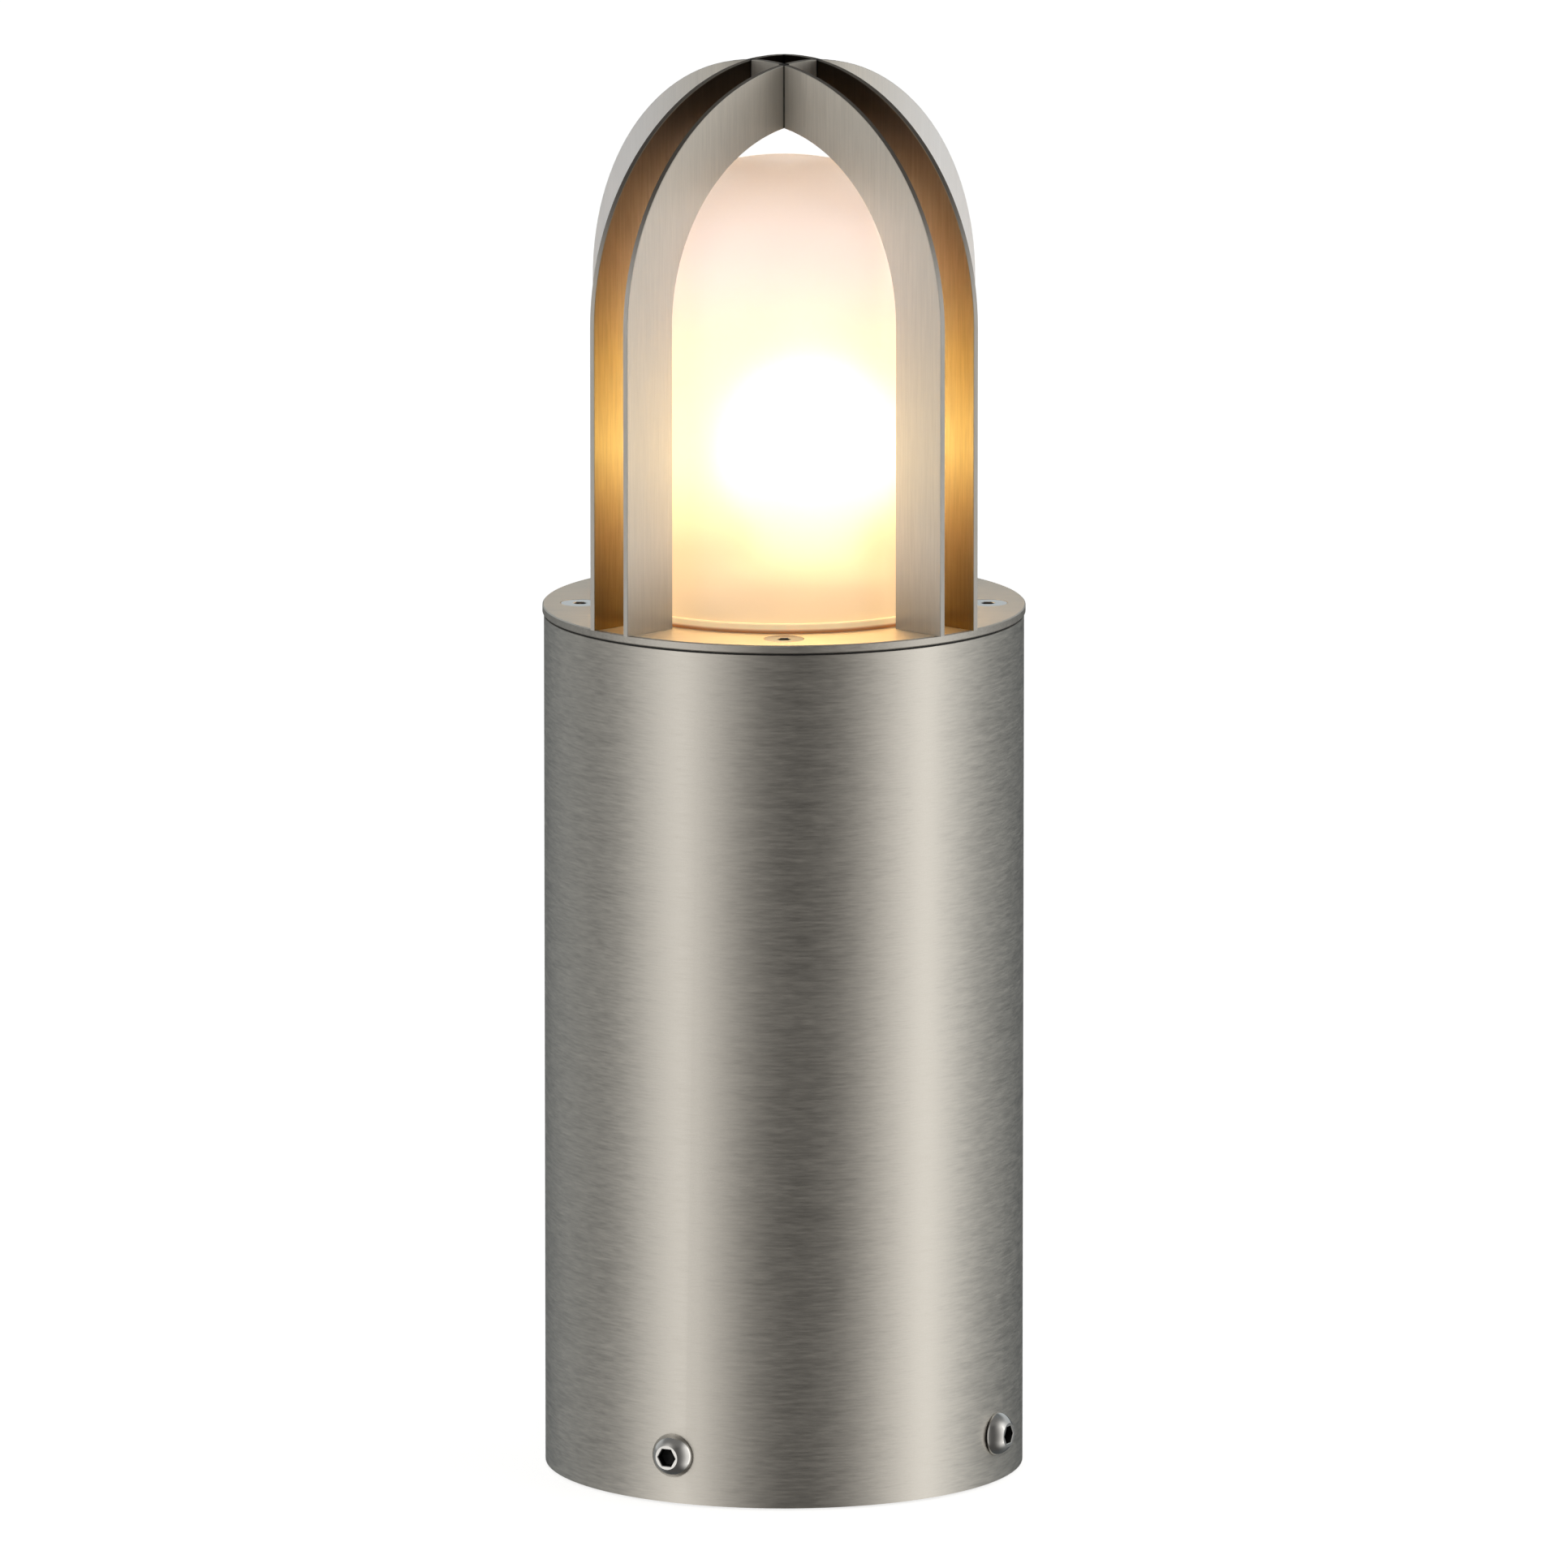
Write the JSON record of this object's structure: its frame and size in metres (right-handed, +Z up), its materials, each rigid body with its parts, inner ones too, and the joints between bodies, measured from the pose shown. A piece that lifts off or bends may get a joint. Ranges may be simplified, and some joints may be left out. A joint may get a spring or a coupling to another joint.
{
  "type": "bollard light",
  "caption": "Low outdoor bollard light: brushed steel tube with a flat top plate, a cage of interlocked arch plates and a domed opal glass over a lamp.",
  "frame": {"origin": "centre of the underside, on the ground", "axes": "+Z up along the tube, -Y towards the front; the cage plates stand on the two diagonals between X and Y"},
  "size_m": [0.115, 0.115, 0.339],
  "materials": {
    "brushed_tube": "brushed round the tube",
    "brushed_plate": "brushed, one direction",
    "brushed_cage": "brushed along the strips",
    "polished_screws": "polished",
    "inner_steel": "matt rolled sheet",
    "flange_steel": "zinc primed",
    "zinc_fasteners": "zinc plated",
    "opal_glass": "satin opal",
    "lamp_glass": "soft white, lit",
    "clear_glass": "clear",
    "tungsten": "lit wire",
    "cap_metal": "bright",
    "solder": "dull",
    "black_glass": "glossy",
    "seal_rubber": "matt",
    "gasket_silicone": "translucent",
    "porcelain": "glazed",
    "brass": "bright",
    "tinned_copper": "tinned",
    "block_plastic": "moulded",
    "lead_brown": "smooth",
    "lead_blue": "smooth",
    "lead_green_yellow": "smooth, striped"
  },
  "bodies": {
    "base": {"body_tube": "brushed_tube", "body_screws": "polished_screws", "mounting_ring": "inner_steel", "lamp_strap": "inner_steel", "wiring_bracket": "inner_steel", "base_flange": "flange_steel", "lamp_strap_screws": "zinc_fasteners", "wiring_bracket_screws": "zinc_fasteners", "terminal_screws": "zinc_fasteners", "terminal_fixing_screws": "zinc_fasteners", "lampholder_screws": "zinc_fasteners", "earth_screw": "zinc_fasteners", "head_seal": "seal_rubber", "cable_grommet": "seal_rubber", "lampholder_body": "porcelain", "lampholder_shell": "brass", "lampholder_contact": "brass", "lampholder_terminals": "brass", "terminal_inserts": "brass", "earth_lug": "tinned_copper", "terminal_block": "block_plastic", "lead_live": "lead_brown", "lead_neutral": "lead_blue", "lead_earth": "lead_green_yellow"},
    "lamp": {"lamp_contact": "solder", "lamp_insulator": "black_glass", "lamp_cap": "cap_metal", "lamp_envelope": "lamp_glass", "lamp_stem": "clear_glass", "lamp_filament": "tungsten"},
    "head": {"top_plate": "brushed_plate", "cage_arch_lower_back": "brushed_cage", "cage_arch_lower_front": "brushed_cage", "cage_arch_upper_back": "brushed_cage", "cage_arch_upper_front": "brushed_cage", "top_screws": "polished_screws", "glass_dome": "opal_glass", "glass_gasket": "gasket_silicone", "glass_cushion": "seal_rubber", "clamp_ring": "inner_steel", "clamp_studs": "zinc_fasteners", "clamp_nuts": "zinc_fasteners"}
  },
  "joints": [
    {"name": "head_lift", "type": "slide", "parent": "base", "child": "head", "axis": [0, 0, 1], "range_m": [0, 0.1]},
    {"name": "lamp_out", "type": "slide", "parent": "base", "child": "lamp", "axis": [0, 0, 1], "range_m": [0, 0.027]}
  ]
}
